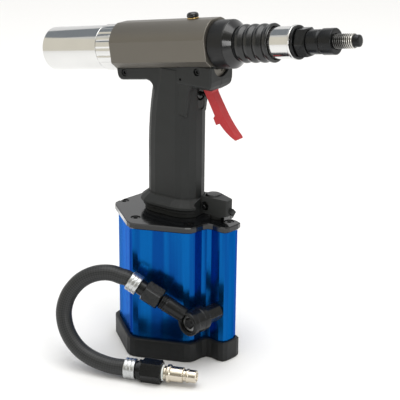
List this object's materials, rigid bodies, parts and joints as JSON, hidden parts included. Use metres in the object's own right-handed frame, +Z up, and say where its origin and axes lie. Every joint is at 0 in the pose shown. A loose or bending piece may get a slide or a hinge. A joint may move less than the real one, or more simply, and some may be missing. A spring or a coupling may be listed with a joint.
{
  "type": "pneumatic rivet gun",
  "caption": "Pistol-grip pneumatic tool that sets threaded rivet nuts: hexagonal air cylinder base, tilted head with threaded mandrel, red trigger and a short air hose.",
  "frame": {"origin": "centre of the rubber boot's underside, where the tool stands", "axes": "+X forward, the way the nose points, +Z up along the air cylinder, -Y the side that the air inlet and hose are on"},
  "size_m": [0.3218, 0.1644, 0.3148],
  "materials": {
    "black_plastic": "moulded, fine texture",
    "black_rubber": "satin",
    "black_steel": "black oxide, satin",
    "black_enamel": "gloss",
    "grey_anodised": "anodised, fine blasted",
    "blue_anodised": "anodised, bright",
    "red_plastic": "satin",
    "polished_steel": "turned and polished",
    "steel": "turned",
    "zinc": "zinc plated",
    "nickel": "nickel plated, bright",
    "brass": "plain",
    "nylon": "natural"
  },
  "bodies": {
    "tool_body": {"foot_boot": "black_rubber", "bottom_plate": "steel", "air_cylinder": "blue_anodised", "top_plate": "black_enamel", "plate_screw_1": "black_steel", "plate_screw_2": "black_steel", "plate_screw_3": "black_steel", "plate_screw_4": "black_steel", "plate_screw_5": "black_steel", "plate_screw_6": "black_steel", "plate_screw_7": "black_steel", "valve_box": "black_plastic", "silencer_cap": "black_steel", "valve_box_screw": "black_steel", "inlet_adapter": "black_steel", "swivel_clip": "steel", "head_housing": "grey_anodised", "motor_tube": "polished_steel", "rear_cap": "black_plastic", "motor_plate": "steel", "return_spring": "steel", "front_cap": "black_enamel", "nose_barrel": "steel", "bellows": "black_rubber", "locknut": "black_steel", "anvil": "black_steel", "plug_seal": "brass", "oil_plug": "black_enamel", "grip_shell_right": "black_plastic", "grip_shell_left": "black_plastic", "grip_base": "black_plastic", "shell_screw_right_1": "black_steel", "shell_screw_left_1": "black_steel", "shell_screw_right_2": "black_steel", "shell_screw_left_2": "black_steel", "ram_tube": "steel", "head_plug": "grey_anodised", "trigger_pin": "steel", "valve_bush": "black_steel", "air_hose": "black_rubber", "plug_ferrule": "zinc", "plug_nut": "black_steel", "plug_washer": "nylon", "quick_plug": "nickel"},
    "trigger": {"trigger": "red_plastic"},
    "valve_pin": {"valve_pin": "black_steel"},
    "air_piston": {"air_piston": "steel", "air_piston_seal": "black_rubber", "ram_rod": "polished_steel"},
    "pull_piston": {"pull_piston": "steel", "pull_piston_seal": "black_rubber"},
    "mandrel": {"mandrel": "black_steel"},
    "motor_rotor": {"motor_rotor": "steel", "drive_shaft": "steel"},
    "adjuster_ring": {"adjuster_ring": "polished_steel"},
    "nose_sleeve": {"nose_sleeve": "polished_steel"},
    "inlet_swivel": {"inlet_swivel": "black_steel", "hose_nut": "black_steel", "hose_ferrule": "zinc"}
  },
  "joints": [
    {"name": "trigger_pull", "type": "hinge", "parent": "tool_body", "child": "trigger", "pos_m": [0.0396, 0, 0.256], "axis": [0, 1, 0], "range_deg": [0, 11], "stiffness_Nm_per_rad": 0.6, "springref_deg": -14.32},
    {"name": "valve_pin_slide", "type": "slide", "parent": "tool_body", "child": "valve_pin", "axis": [1, 0, 0], "range_m": [-0.003, 0]},
    {"name": "air_piston_slide", "type": "slide", "parent": "tool_body", "child": "air_piston", "axis": [0, 0, 1], "range_m": [0, 0.0552]},
    {"name": "pull_piston_slide", "type": "slide", "parent": "tool_body", "child": "pull_piston", "axis": [-0.9879, 0, -0.1549], "range_m": [0, 0.0071], "stiffness_N_per_m": 800, "springref_m": -0.006, "deforming": ["return_spring"]},
    {"name": "motor_spin", "type": "hinge", "parent": "tool_body", "child": "motor_rotor", "pos_m": [0, 0, 0.2793], "axis": [0.9879, 0, 0.1549], "continuous": true},
    {"name": "mandrel_spin", "type": "hinge", "parent": "pull_piston", "child": "mandrel", "pos_m": [0, 0, 0.2793], "axis": [0.9879, 0, 0.1549], "continuous": true},
    {"name": "adjuster_ring_turn", "type": "hinge", "parent": "tool_body", "child": "adjuster_ring", "pos_m": [0, 0, 0.2793], "axis": [0.9879, 0, 0.1549], "range_deg": [-180, 180]},
    {"name": "nose_sleeve_slide", "type": "slide", "parent": "tool_body", "child": "nose_sleeve", "axis": [-0.9879, 0, -0.1549], "range_m": [0, 0.006], "stiffness_N_per_m": 500, "springref_m": -0.01, "deforming": ["bellows"]},
    {"name": "inlet_swivel_turn", "type": "hinge", "parent": "tool_body", "child": "inlet_swivel", "pos_m": [0.05519, -0.04289, 0.0478], "axis": [0.1357, 0.9907, 0], "range_deg": [-6, 20], "deforming": ["air_hose"]}
  ],
  "couplings": [
    {"joint": "valve_pin_slide", "follows": "trigger_pull", "m_per_rad": -0.0141},
    {"joint": "pull_piston_slide", "follows": "air_piston_slide", "ratio": 0.1268},
    {"joint": "mandrel_spin", "follows": "motor_spin", "ratio": 1}
  ]
}
